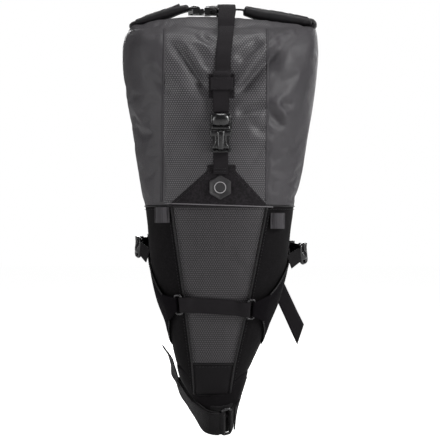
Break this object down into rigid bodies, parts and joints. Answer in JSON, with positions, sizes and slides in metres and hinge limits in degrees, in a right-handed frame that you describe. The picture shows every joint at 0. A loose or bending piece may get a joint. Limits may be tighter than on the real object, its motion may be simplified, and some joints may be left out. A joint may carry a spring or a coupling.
{
  "type": "saddle bag",
  "caption": "Tapered roll-top saddle bag with a stiffened nose, webbing compression strap, side-release buckles, saddle-rail straps and a hook-and-loop seatpost strap.",
  "frame": {"origin": "centre of the seatpost pad's bearing face on the nose", "axes": "+Z from the nose to the roll closure, -Y out of the face with the compression strap, +Y towards the saddle, +X to the right when that face is seen with the roll up"},
  "size_m": [0.2588, 0.1826, 0.5755],
  "materials": {
    "grey_ripstop": "coated nylon ripstop, low sheen",
    "dark_ripstop": "coated nylon ripstop, low sheen",
    "black_coated": "smooth coated nylon, low sheen",
    "webbing": "flat woven nylon webbing",
    "loop_webbing": "ribbed woven webbing",
    "hook_loop": "brushed hook-and-loop webbing",
    "suede": "mottled synthetic suede",
    "emblem": "moulded soft patch",
    "buckle_plastic": "moulded acetal, satin",
    "ring_plastic": "moulded nylon, satin",
    "foam": "closed-cell foam with a grippy face",
    "board": "plain polyethylene board",
    "liner": "thin coated liner"
  },
  "bodies": {
    "bag": {"nose_panel": "black_coated", "front_panel": "dark_ripstop", "side_panel_right": "black_coated", "side_panel_left": "black_coated", "back_panel": "black_coated", "upper_body": "grey_ripstop", "nose_cap": "black_coated", "seatpost_pad": "foam", "nose_stiffener": "board", "liner_bag": "liner", "yoke": "suede", "emblem_patch": "emblem", "piping_left": "black_coated", "piping_right": "black_coated", "light_loop_left": "loop_webbing", "light_loop_right": "loop_webbing", "bridge_strap": "webbing", "wing_left": "black_coated", "wing_right": "black_coated", "compression_buckle_female": "buckle_plastic", "buckle_tab": "webbing", "keeper_patch": "suede", "strap_keeper": "webbing", "compression_strap_front": "webbing", "compression_strap_back": "webbing", "saddle_buckle_left_female": "buckle_plastic", "saddle_strap_left": "webbing", "wing_tab_left": "webbing", "saddle_buckle_right_female": "buckle_plastic", "saddle_strap_right": "webbing", "wing_tab_right": "webbing"},
    "compression_male": {"compression_buckle_male": "buckle_plastic", "compression_strap_tail": "webbing"},
    "compression_latch_left": {"compression_buckle_latch_l": "buckle_plastic"},
    "compression_latch_right": {"compression_buckle_latch_r": "buckle_plastic"},
    "roll": {"roll_closure": "grey_ripstop", "roll_stiffener": "board", "roll_end_right": "black_coated", "closure_web_right": "webbing", "closure_buckle_female": "buckle_plastic", "compression_strap_top": "webbing"},
    "closure_male": {"closure_buckle_male": "buckle_plastic", "closure_web_left": "webbing", "roll_end_left": "black_coated"},
    "closure_latch_left": {"closure_buckle_latch_l": "buckle_plastic"},
    "closure_latch_right": {"closure_buckle_latch_r": "buckle_plastic"},
    "saddle_male_left": {"saddle_buckle_left_male": "buckle_plastic"},
    "saddle_latch_left_left": {"saddle_buckle_left_latch_l": "buckle_plastic"},
    "saddle_latch_left_right": {"saddle_buckle_left_latch_r": "buckle_plastic"},
    "tail_left": {"saddle_tail_left": "webbing"},
    "ring_left": {"ring_left": "ring_plastic"},
    "saddle_male_right": {"saddle_buckle_right_male": "buckle_plastic"},
    "saddle_latch_right_left": {"saddle_buckle_right_latch_l": "buckle_plastic"},
    "saddle_latch_right_right": {"saddle_buckle_right_latch_r": "buckle_plastic"},
    "tail_right": {"saddle_tail_right": "webbing"},
    "ring_right": {"ring_right": "ring_plastic"},
    "seatpost_loop": {"seatpost_strap": "hook_loop", "seatpost_ring": "ring_plastic", "seatpost_tab": "hook_loop"},
    "seatpost_flap": {"seatpost_flap": "hook_loop"}
  },
  "joints": [
    {"name": "compression_buckle_slide", "type": "slide", "parent": "bag", "child": "compression_male", "axis": [0, -0.0791, 0.9969], "range_m": [0, 0.02]},
    {"name": "compression_buckle_latch_left_squeeze", "type": "hinge", "parent": "compression_male", "child": "compression_latch_left", "pos_m": [0.00411, -0.10755, 0.35464], "axis": [0, -0.9969, -0.0791], "range_deg": [0, 8]},
    {"name": "compression_buckle_latch_right_squeeze", "type": "hinge", "parent": "compression_male", "child": "compression_latch_right", "pos_m": [0.01911, -0.10755, 0.35464], "axis": [0, -0.9969, -0.0791], "range_deg": [-8, 0]},
    {"name": "roll_lift", "type": "slide", "parent": "bag", "child": "roll", "axis": [0, 0, 1], "range_m": [0, 0.04]},
    {"name": "closure_buckle_slide", "type": "slide", "parent": "roll", "child": "closure_male", "axis": [-1, 0, 0], "range_m": [0, 0.02]},
    {"name": "closure_buckle_latch_left_squeeze", "type": "hinge", "parent": "closure_male", "child": "closure_latch_left", "pos_m": [-0.0103, -0.0155, 0.5156], "axis": [0, 0, 1], "range_deg": [0, 8]},
    {"name": "closure_buckle_latch_right_squeeze", "type": "hinge", "parent": "closure_male", "child": "closure_latch_right", "pos_m": [-0.0103, -0.0005, 0.5156], "axis": [0, 0, 1], "range_deg": [-8, 0]},
    {"name": "saddle_buckle_left_slide", "type": "slide", "parent": "bag", "child": "saddle_male_left", "axis": [0.7519, 0.6516, 0.1002], "range_m": [0, 0.02]},
    {"name": "saddle_buckle_left_latch_left_squeeze", "type": "hinge", "parent": "saddle_male_left", "child": "saddle_latch_left_left", "pos_m": [-0.07708, 0.02997, 0.19792], "axis": [-0.6549, 0.7557, 0.0001], "range_deg": [0, 8]},
    {"name": "saddle_buckle_left_latch_right_squeeze", "type": "hinge", "parent": "saddle_male_left", "child": "saddle_latch_left_right", "pos_m": [-0.07821, 0.02898, 0.21284], "axis": [-0.6549, 0.7557, 0.0001], "range_deg": [-8, 0]},
    {"name": "saddle_buckle_right_slide", "type": "slide", "parent": "bag", "child": "saddle_male_right", "axis": [-0.7519, 0.6516, 0.1002], "range_m": [0, 0.02]},
    {"name": "saddle_buckle_right_latch_left_squeeze", "type": "hinge", "parent": "saddle_male_right", "child": "saddle_latch_right_left", "pos_m": [0.10221, 0.02798, 0.20384], "axis": [0.6549, 0.7557, 0.0001], "range_deg": [0, 8]},
    {"name": "saddle_buckle_right_latch_right_squeeze", "type": "hinge", "parent": "saddle_male_right", "child": "saddle_latch_right_right", "pos_m": [0.10107, 0.02897, 0.18892], "axis": [0.6549, 0.7557, 0.0001], "range_deg": [-8, 0]},
    {"name": "tail_right_swing", "type": "hinge", "parent": "saddle_male_right", "child": "tail_right", "pos_m": [0.07, 0.0585, 0.196], "axis": [0, 1, 0], "range_deg": [-15, 12]},
    {"name": "tail_left_swing", "type": "hinge", "parent": "saddle_male_left", "child": "tail_left", "pos_m": [-0.0475, 0.059, 0.205], "axis": [0, 1, 0], "range_deg": [-15, 15]},
    {"name": "ring_left_tilt", "type": "hinge", "parent": "bag", "child": "ring_left", "pos_m": [-0.04413, -0.0625, 0.12615], "axis": [-0.0973, -0.238, 0.9664], "range_deg": [-6, 6]},
    {"name": "ring_right_tilt", "type": "hinge", "parent": "bag", "child": "ring_right", "pos_m": [0.0515, -0.06384, 0.12019], "axis": [0.0723, -0.2411, 0.9678], "range_deg": [-6, 6]},
    {"name": "seatpost_loop_swing", "type": "hinge", "parent": "bag", "child": "seatpost_loop", "pos_m": [0, 0.036, 0.012], "axis": [1, 0, 0], "range_deg": [0, 45]},
    {"name": "seatpost_flap_peel", "type": "hinge", "parent": "seatpost_loop", "child": "seatpost_flap", "pos_m": [0.0096, -0.02793, -0.03441], "axis": [0, -0.5736, 0.8192], "range_deg": [0, 55]}
  ]
}
